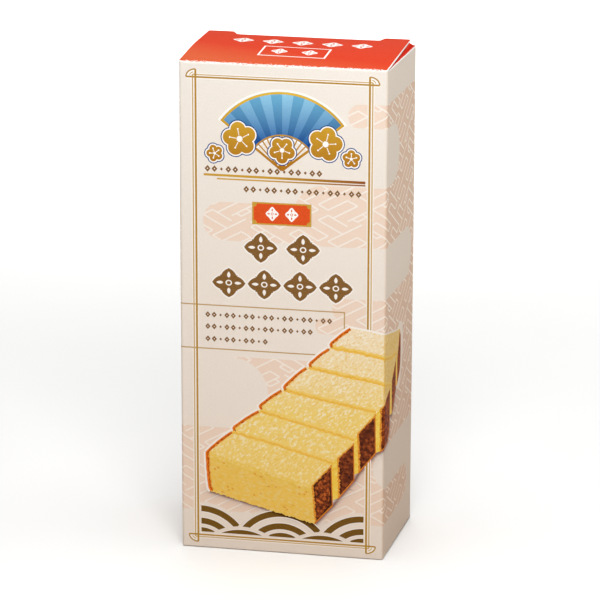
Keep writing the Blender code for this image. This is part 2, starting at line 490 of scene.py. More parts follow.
def paint_fret(clouds, gaps):
    """Slanting key lines in blocks that run by turns one way and the other, wherever a cloud lies."""
    paint("cloud", *clouds)
    paint("gap", *gaps)
    spans = [(*map(min, zip(*cloud)), *map(max, zip(*cloud))) for cloud in clouds]
    reach = int(max(END_U, HEIGHT) / (FRET_UNIT * FRET_BLOCK) / sin(FRET_SLOPE)) + 2
    runs = fret_runs()
    for i in range(-reach, reach):
        for j in range(-reach, reach):
            for p0, q0, p1, q1 in runs:
                ends = ((p0, q0), (p1, q1)) if (i + j) % 2 else ((q0, p0), (q1, p1))
                line = [fret_place(FRET_BLOCK * i + p, FRET_BLOCK * j + q) for p, q in ends]
                (u0, u1), (v0, v1) = map(sorted, zip(*line))
                if any(a < u1 and u0 < c and b < v1 and v0 < d for a, b, c, d in spans):
                    stroke("fret", line, FRET_LINE)


# Gold frame, waves and motifs that come on several panels

FRAME_SIDE = 6.9
FRAME_TOP = 5.9
FRAME_BASE = 5.6
FRAME_GAP = 1.15
BOLD = 0.8
PALE = 0.5
HALO = 0.38
FAN_WIDE = 3.8
FAN_HIGH = 3.1
FAN_LINE = 0.56


def frame_parts(u0, u1):
    """A frame's upright and level lines, each as (bold, pale), and its corners with their first angle."""
    left, right = u0 + FRAME_SIDE, u1 - FRAME_SIDE
    low, high = FRAME_BASE, HEIGHT - FRAME_TOP
    tall = ((left, left - FRAME_GAP), (right, right + FRAME_GAP))
    wide = ((low, low - FRAME_GAP * 0.8), (high, high + FRAME_GAP * 0.8))
    corners = ((left, high, 90), (right, high, 0), (left, low, 180), (right, low, 270))
    return tall, wide, corners


def paint_frame_ground(u0, u1):
    """The pale lines beside the gold frame of a panel between u0 and u1."""
    tall, wide, corners = frame_parts(u0, u1)
    for lines in (tall, wide):
        for bold, pale in lines:
            near = min(bold - BOLD / 2, pale - PALE / 2) - HALO
            far = max(bold + BOLD / 2, pale + PALE / 2) + HALO
            upright = box(near, wide[0][0] - FAN_HIGH, far, wide[1][0] + FAN_HIGH)
            level = box(tall[0][0] - FAN_WIDE, near, tall[1][0] + FAN_WIDE, far)
            paint("keyline", upright if lines is tall else level)
    for u, v, first in corners:
        paint("keyline", [(u, v)] + disc(u, v, FAN_WIDE + HALO, FAN_HIGH + HALO, 12, first, first + 90))


def paint_frame(u0, u1):
    """The double gold frame of a panel, with a quarter fan outside each corner."""
    ((left, far_left), (right, far_right)), ((low, far_low), (high, far_high)), corners = frame_parts(u0, u1)
    for u in (far_left, far_right):
        paint("gold_pale", box(u - PALE / 2, far_low, u + PALE / 2, far_high))
    for v in (far_low, far_high):
        paint("gold_pale", box(far_left, v - PALE * 0.4, far_right, v + PALE * 0.4))
    for u in (left, right):
        paint("gold", box(u - BOLD / 2, low - FAN_HIGH, u + BOLD / 2, high + FAN_HIGH))
    for v in (low, high):
        paint("gold", box(left - FAN_WIDE, v - BOLD * 0.42, right + FAN_WIDE, v + BOLD * 0.42))
    for u, v, first in corners:
        stroke("gold", disc(u, v, FAN_WIDE, FAN_HIGH, 12, first, first + 90), FAN_LINE)
        for share in (0.66, 0.4):
            arc = disc(u, v, FAN_WIDE * share, FAN_HIGH * share, 6, first + 20, first + 70)
            stroke("gold_pale", arc, 0.34)


WAVE_RADII = (20.9, 15.6, 11.5)
WAVE_RING = 2.55
WAVE_HALO = 0.35
WAVE_CENTRE_V = -2.8
WAVE_ROW = 9.4
WAVE_SPACING = 33.4


def paint_waves(u0, u1):
    """Two rows of overlapping ringed waves along the foot of a panel, inside its frame."""
    window = (u0 + FRAME_SIDE + 1.3, FRAME_BASE + 1.3, u1 - FRAME_SIDE - 1.1, HEIGHT)
    for shift, cv, count in ((0.0, WAVE_CENTRE_V, 3), (0.5, WAVE_CENTRE_V - WAVE_ROW, 2)):
        for k in range(count):
            rings = [("bare", WAVE_RADII[0] + 1.5)]
            for radius in WAVE_RADII:
                rings += [("keyline", radius + WAVE_HALO), ("wave", radius)]
                rings += [("keyline", radius - WAVE_RING), ("bare", radius - WAVE_RING - WAVE_HALO)]
            for ink_name, radius in rings:
                cu = window[0] + WAVE_SPACING * (k + shift)
                paint(ink_name, clip(disc(cu, cv, radius, steps=72), window))


def leaf(cu, cv, angle, length, width, steps=8):
    """A pointed oval petal that starts at the centre."""
    upper, lower = [], []
    for k in range(1, steps):
        t = k / steps
        half = width / 2 * sin(pi * t**0.85) ** 0.75
        upper.append((length * t, half))
        lower.append((length * t, -half))
    outline = [(0.0, 0.0)] + lower + [(length, 0.0)] + upper[::-1]
    c, s = cos(angle), sin(angle)
    return [(cu + x * c - y * s, cv + x * s + y * c) for x, y in outline]


def paint_flower(ink_name, cu, cv, wide, high, ground="keyline"):
    """A four-petalled diamond flower with a small leaf between each two petals."""
    slant = atan2(high, wide)
    petals = [(pi / 2 * k, *((high, wide) if k % 2 else (wide, high))) for k in range(4)]
    for grow, colour in ((0.7, ground), (0.0, ink_name)):
        for k, (angle, length, broad) in enumerate(petals):
            paint(colour, leaf(cu, cv, angle, length / 2 + grow, broad * 0.46 + grow * 1.4))
            between = pi * (k // 2) + (pi - slant if k % 2 else slant)
            small = min(wide, high) * 0.4 + grow
            paint(colour, leaf(cu, cv, between, small, small * 0.42 + grow * 0.6))
    for angle, length, broad in petals:
        start = (cu + length * 0.17 * cos(angle), cv + length * 0.17 * sin(angle))
        paint(ground, leaf(*start, angle, length * 0.21, broad * 0.1012))
    paint(ground, disc(cu, cv, wide * 0.1, high * 0.1, 16))
    paint(ink_name, disc(cu, cv, wide * 0.06, high * 0.06, 12))


def paint_beads(u0, u1, v, size=2.35, pitch=2.8):
    """A row of little diamonds, every third one smaller."""
    for k in range(int((u1 - u0) / pitch) + 1):
        half = size / 2 * (0.5 if k % 3 == 2 else 1.0)
        cu = u0 + size / 2 + pitch * k
        paint("title", [(cu - half, v), (cu, v - half * 1.15), (cu + half, v), (cu, v + half * 1.15)])
        if k % 3 != 2:
            paint("keyline", disc(cu, v, half * 0.24, steps=6))


def paint_plaque(u0, v0, u1, v1):
    """A red plaque with a thin gold border."""
    paint("plaque_gold", box(u0, v0, u1, v1))
    paint("plaque_red", box(u0 + 0.6, v0 + 0.6, u1 - 0.6, v1 - 0.6))


def paint_blossom(cu, cv, size, turn):
    """A five-petalled blossom in gold with a pale rim and a dark blue keyline round it."""
    ways = [90 + 72 * k + turn for k in range(5)]
    for ink_name, grow in (("navy", 0.9), ("white", 0.5), ("gold_rich", 0.0)):
        for way in ways:
            paint(ink_name, disc(*polar(cu, cv, size * 0.52, way), size * 0.42 + grow, steps=20))
        paint(ink_name, disc(cu, cv, size * 0.4, steps=16))
    paint("white", disc(cu, cv, size * 0.17, steps=12))
    for way in ways:
        stroke("white", [polar(cu, cv, size * 0.2, way), polar(cu, cv, size * 0.5, way)], 0.3)
        paint("white", disc(*polar(cu, cv, size * 0.55, way), 0.35, steps=8))


FAN_PIVOT = (41.5, 158.8)
FAN_OUTER = 31.0
FAN_INNER = 13.5
FAN_SPREAD = 52.0
FAN_FOLDS = 12


def paint_fan():
    """An open folding fan in blues, with gold ribs and rim, and five gold blossoms across its foot."""
    cu, cv = FAN_PIVOT
    first, last = 90 - FAN_SPREAD, 90 + FAN_SPREAD
    ways = [first + (last - first) / FAN_FOLDS * k for k in range(FAN_FOLDS + 1)]

    def arc(radius, steps, start=first, end=last):
        return disc(cu, cv, radius, steps=steps, first=start, last=end)

    rim = arc(FAN_OUTER + 0.9, 40, first - 1.5, last + 1.5)
    paint("white", rim + arc(FAN_INNER - 0.6, 20, first - 2, last + 2)[::-1])
    for k, (a, b) in enumerate(zip(ways, ways[1:])):
        blade = arc(FAN_OUTER, 4, a, b) + arc(FAN_INNER, 3, a, b)[::-1]
        paint("fan_light" if k % 2 else "fan_deep", blade)
    for radius, width in ((FAN_OUTER - 0.5, 0.9), (FAN_INNER + 0.4, 0.6)):
        stroke("gold_rich", arc(radius, 40), width)
    for way in ways:
        stroke("gold_rich", [polar(cu, cv, 3, way), polar(cu, cv, FAN_INNER, way)], 0.55)
    for way in (first, last):
        stroke("gold_rich", [(cu, cv), polar(cu, cv, FAN_OUTER, way)], 1.0)
    paint("gold_rich", disc(cu, cv + 1.5, 1.5, steps=16))
    for u, v, size, turn in ((24.5, 170.5, 7.2, 10), (41.5, 166.8, 5.6, 36), (58.8, 170.0, 7.2, -14),
                             (14.5, 164.4, 3.6, 20), (69.0, 164.6, 3.8, 0)):
        paint_blossom(u, v, size, turn)


# The pictured row of sponge slices

# Each has its left edge, the top of its crust, its crust's foot and the pale strip of the cut that shows
# beside the slice in front.
SLICES = (
    (((10.1, 41.1), (20.7, 50.5)), ((53.7, 29.8), (61.8, 39.1)), ((62.5, 21.7), (55.1, 13.4)), ()),
    (((21.6, 50.6), (21.2, 52.1), (31.7, 60.0)), ((64.1, 42.0), (70.9, 48.8)), ((71.2, 33.0), (64.6, 24.7)),
     ((64.4, 24.7), (62.0, 24.0))),
    (((32.7, 60.3), (32.0, 61.9), (41.0, 69.3)), ((72.1, 52.8), (79.5, 61.4)), ((79.8, 44.9), (72.9, 36.1)),
     ((73.0, 36.1), (70.9, 35.5))),
    (((42.3, 69.1), (42.0, 70.7), (51.0, 79.3)), ((81.3, 63.8), (86.5, 67.4), (92.9, 69.8)),
     ((92.6, 58.4), (92.2, 52.2), (89.0, 48.0), (84.1, 47.1), (81.3, 45.6)),
     ((81.4, 45.6), (79.4, 45.2))),
    (((52.6, 79.3), (52.3, 80.7), (60.1, 87.6)), ((95.6, 71.6), (99.2, 75.4), (102.8, 79.2)),
     ((103.1, 66.5), (99.4, 60.5), (96.0, 57.2)),
     ((96.0, 57.3), (92.4, 58.3))),
    (((61.1, 87.9), (60.7, 89.4), (68.8, 96.5)), ((105.2, 78.4), (107.4, 83.4), (109.6, 89.4)),
     ((111.5, 86.4), (111.8, 81.1), (111.6, 75.9), (110.4, 72.0), (107.8, 69.0), (105.0, 66.9)),
     ((105.0, 66.9), (102.8, 67.2))),
)
FRONT_FOOT = (12.0, 24.4)
FRONT_LEFT = ((11.2, 25.8), (10.8, 28.9), (10.3, 35.0))
FAR_EDGE = ((109.6, 89.7), (101.8, 90.6), (92.3, 92.5), (83.0, 94.2), (76.0, 95.4))
CUTS = (
    ((21.2, 50.5), (35.4, 47.3), (62.4, 40.0)),
    ((32.6, 60.0), (48.9, 55.9), (70.9, 50.4)),
    ((42.3, 69.4), (60.0, 66.0), (79.6, 62.4)),
    ((52.5, 79.3), (68.0, 76.6), (77.2, 75.2), (82.9, 73.8), (93.8, 70.8)),
    ((61.3, 88.3), (72.0, 86.8), (82.8, 84.6), (95.1, 81.9), (103.5, 81.4)),
)
SIDE_HALO = ((104.0, 88.0), (108.0, 93.2), (114.2, 91.6), (115.8, 86.0), (115.9, 80.0), (114.6, 73.0),
             (111.2, 67.6), (107.4, 65.0), (104.0, 66.0))
LEFT_CRUST = 1.05
LEFT_BOW = 0.38
RIM = 0.75


def foot_line():
    line = [FRONT_FOOT]
    for _, _, foot, _ in SLICES:
        line += foot[::-1]
    return line


def bowed(path, rise):
    """A path with its last stretch bowed out to the left."""
    (u, v), (end_u, end_v) = path[-2:]
    long = hypot(end_u - u, end_v - v)
    bow = []
    for share in (0.25, 0.5, 0.75):
        push = rise * sin(pi * share) / long
        on_line = (u + (end_u - u) * share, v + (end_v - v) * share)
        bow.append(moved(on_line, -(end_v - v) * push, (end_u - u) * push))
    return [*path[:-1], *bow, path[-1]]


def paint_slices():
    """The sliced sponge, drawn flat: tops, near face, cuts, thin left crusts and dark right ones."""
    edges = [bowed(s[0], LEFT_BOW) for s in SLICES]
    left = [point for edge in edges for point in edge]
    right = [point for s in SLICES for point in s[1]]
    paint("keyline", SIDE_HALO)
    stroke("keyline", [left[-1], *FAR_EDGE[::-1]], 1.5)
    stroke("keyline", [FRONT_FOOT, *FRONT_LEFT, left[0]], 1.6)
    for edge in edges:
        stroke("keyline", edge, 1.5)
    near_left, near_right, near_foot = left[0], right[0], SLICES[0][2][-1]
    face = [near_left, moved(near_left, 3, 2), near_right, moved(near_right, 0.7, 0)]
    face.append(moved(near_foot, 0.7, 0.6))
    paint("sponge_face", face + rough([near_foot, FRONT_FOOT], 0.5, 0.3))
    brow = [near_left, near_right]
    for ink_name, low in (("sponge_brow", 3.4), ("sponge_edge", 1.5)):
        paint(ink_name, brow + rough([moved(point, 0, -low) for point in brow[::-1]], 0.7, 0.6))
    far = rough(FAR_EDGE[::-1], 0.8, 0.14)
    paint("sponge_top", left + far + right[::-1] + rough(brow[::-1], 0.6, 0.4)[1:-1])
    paint_specks(near_left, near_right, near_foot)
    for line in CUTS:
        stroke("cut_line", rough(line, 0.8, 0.34), 1.8)
        stroke("cut_deep", [moved(point, 0, -0.3) for point in rough(line, 0.7, 0.3)], 0.9)
    for before, (_, top, _, (low_right, low_left)) in zip(SLICES, SLICES[1:]):
        strip = [before[1][-1], top[0], moved(top[0], 0.5, -1), moved(low_right, 0.5, 0.6), low_left]
        paint("sponge_sliver", strip)
    for k, (_, top, foot, _) in enumerate(SLICES):
        paint_right_crust(list(top), list(foot), k == 0)
    for hook, corner, *bow in edges[1:]:
        paint_left_crust([hook, moved(corner, 0, -0.3), moved(corner, 0.5, 0.75), *bow], LEFT_CRUST)
    paint_left_crust(edges[0], LEFT_CRUST)
    face_edge = [FRONT_FOOT, *FRONT_LEFT, near_left, moved(near_left, 0.7, 0.65)]
    paint_left_crust(face_edge, LEFT_CRUST * 1.3)


def paint_specks(near_left, near_right, near_foot):
    """A few toasted specks and fine streaks on the near face."""
    for k in range(60):
        across, down = uniform(0.06, 0.96), uniform(0.12, 0.92)
        u = near_left[0] + (near_right[0] - near_left[0]) * across
        v = near_left[1] + (near_right[1] - near_left[1]) * across + (near_foot[1] - near_right[1]) * down
        if k < 20:
            long, high = uniform(0.5, 0.95), uniform(0.34, 0.6)
            speck = [(u - long, v + high * 0.6), (u, v + high), (u + long, v - high * 0.5), (u, v - high)]
            paint("speck", speck)
        else:
            long = uniform(0.8, 2.4)
            paint("sponge_brow", [(u, v), (u + long, v - long * 0.3), (u + long * 0.5, v + 0.1)])


def paint_right_crust(top, foot, charred):
    """A dark crust with an amber rim that bites into its near and top edges. The nearest one is charred."""
    near, low = beside([foot[-1], top[0]], RIM), beside(foot, RIM * 0.7)
    edge = rough([meet(*near, *low[-2:]), near[1]], 0.5, 0.4)
    paint("crust_amber", top + foot + rough([foot[-1], top[0]], 0.5, 0.2)[1:-1])
    paint("crust_char" if charred else "crust_dark", edge + top[1:] + low[:-1])
    if charred:
        paint("crust_heart", rough(beside(top + foot, 1.5, True), 0.7, 0.2)[:-1])
    for line in (foot, [top[-1], foot[0]]):
        stroke("crust_rim", beside(line, 0.2), 0.4)
    brim = beside(top, 0.55)[::-1]
    paint("crust_amber", rough(top, 0.6, 0.15) + rough(brim, 0.5, 0.22))


def paint_left_crust(edge, wide):
    """A browned crust with a smooth, bright outer edge and a dark, crumbly inner one."""
    outer = rough(edge, 1.2, 0.05)
    layers = (("crust_amber", 1.2, 0.3), ("crust_brown", 0.9, 0.36), ("crust_left", 0.5, 0.18))
    for ink_name, share, size in layers:
        inner = rough(beside(outer, wide * share), 0.5, size)
        paint(ink_name, outer + inner[::-1])
    for u, v in inner[::5]:
        paint("crust_char", disc(u + uniform(0.0, 0.4), v, uniform(0.12, 0.24), 0.26, 6))


# Each panel's print

# The fine gold rules run round from the left side
FINE_LOW = 84.6
FINE_HIGH = 102.6
FINE_LINE = 0.5
FINE_START = LEFT_U + 10


def paint_front():
    paint_frame_ground(0.0, WIDTH)
    stroke("gold_fine", [(0.0, FINE_HIGH), (66.7, FINE_HIGH), (66.7, 92.0)], FINE_LINE)
    stroke("gold_fine", [(0.0, FINE_LOW), (58.0, FINE_LOW)], FINE_LINE)
    paint_frame(0.0, WIDTH)
    paint_waves(0.0, WIDTH)
    paint_fan()
    paint("rule", [(10.0, 155.3), (74.6, 154.9), (74.6, 155.95), (10.0, 156.2)])
    paint("rule", box(15.3, 154.0, 74.6, 154.55))
    paint_plaque(29.5, 136.6, 53.3, 145.7)
    for u, v, first in ((30.1, 137.2, 0), (52.7, 137.2, 90), (30.1, 145.1, 270), (52.7, 145.1, 180)):
        paint("plaque_gold", [(u, v)] + disc(u, v, 1.3, steps=6, first=first, last=first + 90))
    for u in (37.6, 45.4):
        paint_flower("white", u, 141.15, 5.4, 5.8, "plaque_red")
    for u in (33.0, 50.0):
        paint_flower("title", u, 127.2, 13.5, 12.2)
    for u in (20.0, 34.4, 48.8, 63.2):
        paint_flower("title", u, 112.2, 13.5, 12.0)
    paint_beads(10.4, 57.0, 158.2)
    paint_beads(26.0, 73.0, 150.6)
    for end_u, v in ((62.0, 98.7), (54.0, 93.8), (35.0, 88.7)):
        paint_beads(10.3, end_u, v, 2.15, 2.6)


def paint_back():
    paint_frame_ground(RIGHT_U, END_U)
    paint_frame(RIGHT_U, END_U)
    paint_waves(RIGHT_U, END_U)
    middle = (RIGHT_U + END_U) / 2
    paint("gold_fine", box(middle - 27, 60, middle + 27, 150))
    paint("keyline", box(middle - 26.5, 60.5, middle + 26.5, 149.5))
    paint_plaque(middle - 12, 165, middle + 12, 174)
    for shift in (-4, 4):
        paint_flower("white", middle + shift, 169.5, 5.6, 5.6, "plaque_red")
    paint("rule", box(middle - 30, 157.4, middle + 30, 158.4))
    for k in range(4):
        paint_flower("title", middle - 21 + 14 * k, 42.0, 12.0, 11.0)


def paint_ends():
    """Red ink on the lid, run paler towards its front as a painted sheen, and on the dust flaps, painted
    deeper as painted shade; its frame and flowers; the scuffed creases; and a white strip along the lid's
    right edge, partly wear and partly a painted highlight.
    """
    # Painted sheen: the lid's red runs paler and pinker towards its front-left
    paint("lid_red", box(-1.0, HEIGHT + 0.25, WIDTH + 0.9, HEIGHT + 90))
    # Painted shade: the dust flaps' red is painted deeper than the lid's, as if shaded under the lid
    paint("flap_red", box(LEFT_U - 1, HEIGHT - 0.25, -1.0, HEIGHT + 90))
    paint("flap_red", box(WIDTH + 0.9, HEIGHT - 0.25, RIGHT_U + 1, HEIGHT + 90))
    stroke("white", box(29.4, HEIGHT + 11.6, 55.7, HEIGHT + 25.6), 0.75, closed=True)
    for k in range(5):
        paint_flower("white", 18.5 + 12.0 * k, HEIGHT + 35.0, 8.6, 9.5, "lid_red")
    for u in (36.5, 48.6):
        paint_flower("white", u, HEIGHT + 18.6, 6.6, 7.6, "lid_red")
    # Partly wear and partly a painted highlight: a white strip along the lid's right edge, narrowing towards
    # the rear, stands in for the lit cut edge
    paint("scuff", [(WIDTH - 0.5, HEIGHT + 0.6), (WIDTH, HEIGHT + 0.6),
                    (WIDTH, HEIGHT + 60), (WIDTH - 0.12, HEIGHT + 60)])
    for u0, u1, v0, v1, size in (
        (LID_SIDE_GAP, WIDTH - LID_SIDE_GAP, HEIGHT - 0.25, HEIGHT + 0.55, 0.32),
        (WIDTH + FLAP_CLEAR, RIGHT_U - FLAP_CLEAR, HEIGHT - 0.7, HEIGHT - 0.2, 0.08),
        (LEFT_U + FLAP_CLEAR, -FLAP_CLEAR, HEIGHT - 0.7, HEIGHT - 0.2, 0.08),
    ):
        low = rough([(u0, v0), (u1, v0)], 0.7, size)
        paint("scuff", low + rough([(u1, v1), (u0, v1)], 0.6, size))
    for k in range(60):
        u, v = uniform(1, WIDTH - 2), HEIGHT + uniform(0.5, 1.3)
        long = uniform(0.3, 1.6)
        paint("scuff", [(u, v), (u + long, v - 0.12), (u + long * 0.7, v + 0.16)])
    for k in range(70):
        u, v = uniform(1, WIDTH - 3), HEIGHT + uniform(-0.2, 0.45)
        long = uniform(0.5, 2.2)
        fleck = [(u, v), (u + long * 0.5, v - 0.1), (u + long, v + 0.05), (u + long * 0.6, v + 0.2)]
        paint("lid_pink" if k % 2 else "lid_red", fleck)


def paint_clouds():
    """Where the faint pattern shows, and the bare lobes cut out of it."""
    clouds = [
        capsule(67.6, 176.6, 100, 186.3, right=False),
        box(WIDTH + 1, 47.3, RIGHT_U, 186.3),
        capsule(46.0, 129.0, 90, 153.4, right=False),
        capsule(9.6, 129.4, 60, 145.0, right=False),
        capsule(61.8, 99.0, 90, 108.2, right=False),
        capsule(55.0, 93.2, 90, 99.8, right=False),
        box(22.0, 51.0, 60.0, 81.8),
        box(LEFT_U, 16.4, 38.0, 51.8),
        capsule(55.0, 14.5, 126.2, 29.2, left=False),
        box(55.0, 29.0, 84.2, 56.0),
        box(LEFT_U, 96.0, 0.0, 186.3),
        capsule(RIGHT_U, 128.8, RIGHT_U + 55, 153.3, left=False),
        capsule(RIGHT_U, 176.6, RIGHT_U + 20, 186.3, left=False),
        capsule(END_U - 50, 92.0, END_U, 116.0, right=False),
        capsule(RIGHT_U, 14.0, RIGHT_U + 48, 44.0, left=False),
        capsule(END_U - 36, 24.0, END_U, 60.0, right=False),
    ]
    gaps = [
        capsule(60, 153.4, 105.8, 177.0, left=False),
        capsule(70, 108.2, 131.0, 129.2, left=False),
        capsule(-30, 52.0, 36.0, 81.4),
        capsule(78.6, 29.2, RIGHT_U, 47.3, right=False),
        capsule(LEFT_U + 16, 145.0, 20, 172.4, right=False),
        capsule(LEFT_U - 20, 110.0, -14.0, 128.0),
    ]
    paint_fret(clouds, gaps)


def paint_all():
    paint_clouds()
    stroke("gold_fine", [(FINE_START, FINE_LOW), (FINE_START, FINE_HIGH), (0.0, FINE_HIGH)], FINE_LINE)
    stroke("gold_fine", [(FINE_START, FINE_LOW), (0.0, FINE_LOW)], FINE_LINE)
    paint_front()
    paint_slices()
    paint_back()
    paint_ends()


# Cutting the sheet into triangles and folding it

# Copies of two inks for the narrow sides with the side's light painted in: the sponge top painted darker as
# painted shade, the dark crust painted brighter and redder
SIDE_PAINTED_LIGHT_INKS = {"sponge_top": "sponge_side", "crust_dark": "crust_side"}
# The printed shadow's reach, and rows of (spacing, near, far) for the extra points that carry it
SHADE_REACH = 8
SHADE_STEPS = ((0.45, 0.0, 1.8), (1.1, 1.8, 5.0))


def cut_sheet():
    """Triangles of the flat sheet and the ink of each."""
    points, edges, faces = [], [], []
    for polygon in [sheet_outline()] + [polygon for _, polygon in FIELDS]:
        faces.append(list(range(len(points), len(points) + len(polygon))))
        points.extend(polygon)
    for line in crease_lines():
        edges.append((len(points), len(points) + 1))
        points.extend(line)
    points.extend(grid_points() + shade_points())
    result = delaunay_2d_cdt([Vector(p) for p in points], edges, faces, 0, 1e-5, True)
    flat = np.array([(p.x, p.y) for p in result[0]])
    triangles, inks = [], []
    for triangle, owners in zip(result[2], result[5]):
        if 0 in owners:
            triangles.append(triangle)
            name = top_ink(sorted(owners))
            inks.append(SIDE_PAINTED_LIGHT_INKS.get(name, name) if flat[triangle, 0].mean() > WIDTH else name)
    return flat, np.array(triangles), inks


def top_ink(owners):
    """The ink that ends on top. A fret line shows only on a cloud, and a gap bares the board again."""
    ink_name = "board"
    for owner in owners[1:]:
        name = FIELDS[owner - 1][0]
        if name == "cloud":
            ink_name = "pattern"
        elif name in ("gap", "bare"):
            ink_name = "board"
        elif name == "fret":
            ink_name = "fret_line" if ink_name == "pattern" else ink_name
        else:
            ink_name = name
    return ink_name


def foot_distance(flat):
    best = np.full(len(flat), 99.0)
    line = foot_line()
    for a, b in zip(line, line[1:]):
        a, b = np.array(a), np.array(b)
        way = b - a
        t = np.clip(((flat - a) @ way) / (way @ way), 0, 1)
        best = np.minimum(best, np.linalg.norm(flat - a - t[:, None] * way, axis=1))
    return best


def shade_of(flat):
    """How deep the pictured slices' printed shadow is at each sheet point."""
    far = foot_distance(flat)
    depth = 0.75 * np.exp(-((far / 0.8) ** 2)) + 0.34 * np.exp(-far / 2.0) - 0.02
    return np.clip(depth, 0, 1) * (far < SHADE_REACH)


def shade_points():
    """Extra points beside the pictured slices' foot, where the printed shadow changes fast."""
    line = np.array(foot_line())
    (u0, v0), (u1, v1) = line.min(0) - 5, line.max(0) + 5
    points = []
    for spacing, near, far in SHADE_STEPS:
        us, vs = np.arange(u0, u1, spacing), np.arange(v0, v1, spacing)
        grid = np.stack(np.meshgrid(us, vs), -1).reshape(-1, 2)
        away = foot_distance(grid)
        points += [tuple(p) for p in grid[(away > near) & (away < far)].tolist()]
    return points


def painted_low_shade_of(flat):
    """Painted shade: the ground is painted darker towards the foot, standing in for the light falling off
    there.
    """
    return 1 - np.clip(flat[:, 1] / HEIGHT, 0, 1)


def painted_narrow_shade_of(flat):
    """Painted shade: the ground is painted a little warmer and darker on the two narrow sides, standing in
    for their shade.
    """
    side = np.zeros(len(flat))
    for low, high in NARROW:
        side = np.maximum(side, smooth((flat[:, 0] - low + 1) / 2) * smooth((high - flat[:, 0] + 1) / 2))
    return side


def board_mesh():
    """The folded sheet as one closed mesh: printed face, plain inner face and cut edges."""
    flat, triangles, inks = cut_sheet()
    used, triangles = np.unique(triangles, return_inverse=True)
    flat, triangles = flat[used], triangles.reshape(-1, 3).tolist()
    count, u, v = len(flat), flat[:, 0].copy(), flat[:, 1].copy()
    outer, normals = folded(u, v)
    inner, _ = folded(u, v, BOARD)
    directed = dict.fromkeys(edge for a, b, c in triangles for edge in ((a, b), (b, c), (c, a)))
    rim = [(a, b) for a, b in directed if (b, a) not in directed]
    faces = [tuple(triangle) for triangle in triangles]
    faces += [(a + count, c + count, b + count) for a, b, c in triangles]
    faces += [(b, a, a + count, b + count) for a, b in rim]
    mesh = bpy.data.meshes.new("carton_board")
    mesh.from_pydata((np.vstack([outer, inner]) * MM).tolist(), [], faces)
    names = sorted(set(inks)) + ["inside", "cut_edge"]
    for name in names:
        mesh.materials.append(ink(name))
    shown = inks + ["inside"] * len(triangles) + ["cut_edge"] * len(rim)
    slots = {name: k for k, name in enumerate(names)}
    mesh.polygons.foreach_set("material_index", [slots[name] for name in shown])
    # low, narrow and foot carry the ground's painted shade; shade carries the printed shadow of the pictured
    # slices
    low, narrow = painted_low_shade_of(flat), painted_narrow_shade_of(flat)
    # Painted shade: the narrow sides darken further towards their foot
    foot = narrow * smooth((low - 0.35) / 0.45)
    values = {"shade": shade_of(flat), "low": low, "narrow": narrow, "foot": foot}
    for name, value in values.items():
        attribute = mesh.attributes.new(name, "FLOAT", "POINT")
        attribute.data.foreach_set("value", np.concatenate([value, value * 0]))
    set_normals(mesh, normals, len(triangles))
    return mesh


def set_normals(mesh, normals, count):
    """Smooth normals from the fold itself on both faces, flat ones on the cut edges."""
    loops = np.zeros(len(mesh.loops), int)
    mesh.loops.foreach_get("vertex_index", loops)
    mesh.update()
    both = np.vstack([normals, -normals])[loops]
    flat_normals = np.zeros(len(mesh.polygons) * 3)
    mesh.polygons.foreach_get("normal", flat_normals)
    both[6 * count:] = np.repeat(flat_normals.reshape(-1, 3)[2 * count:], 4, axis=0)
    mesh.polygons.foreach_set("use_smooth", np.ones(len(mesh.polygons), bool))
    mesh.normals_split_custom_set(both)


# Materials

def linear(colour):
    out = []
    for part in colour:
        c = part / 255
        out.append(c / 12.92 if c <= 0.04045 else ((c + 0.055) / 1.055) ** 2.4)
    return (*out, 1.0)


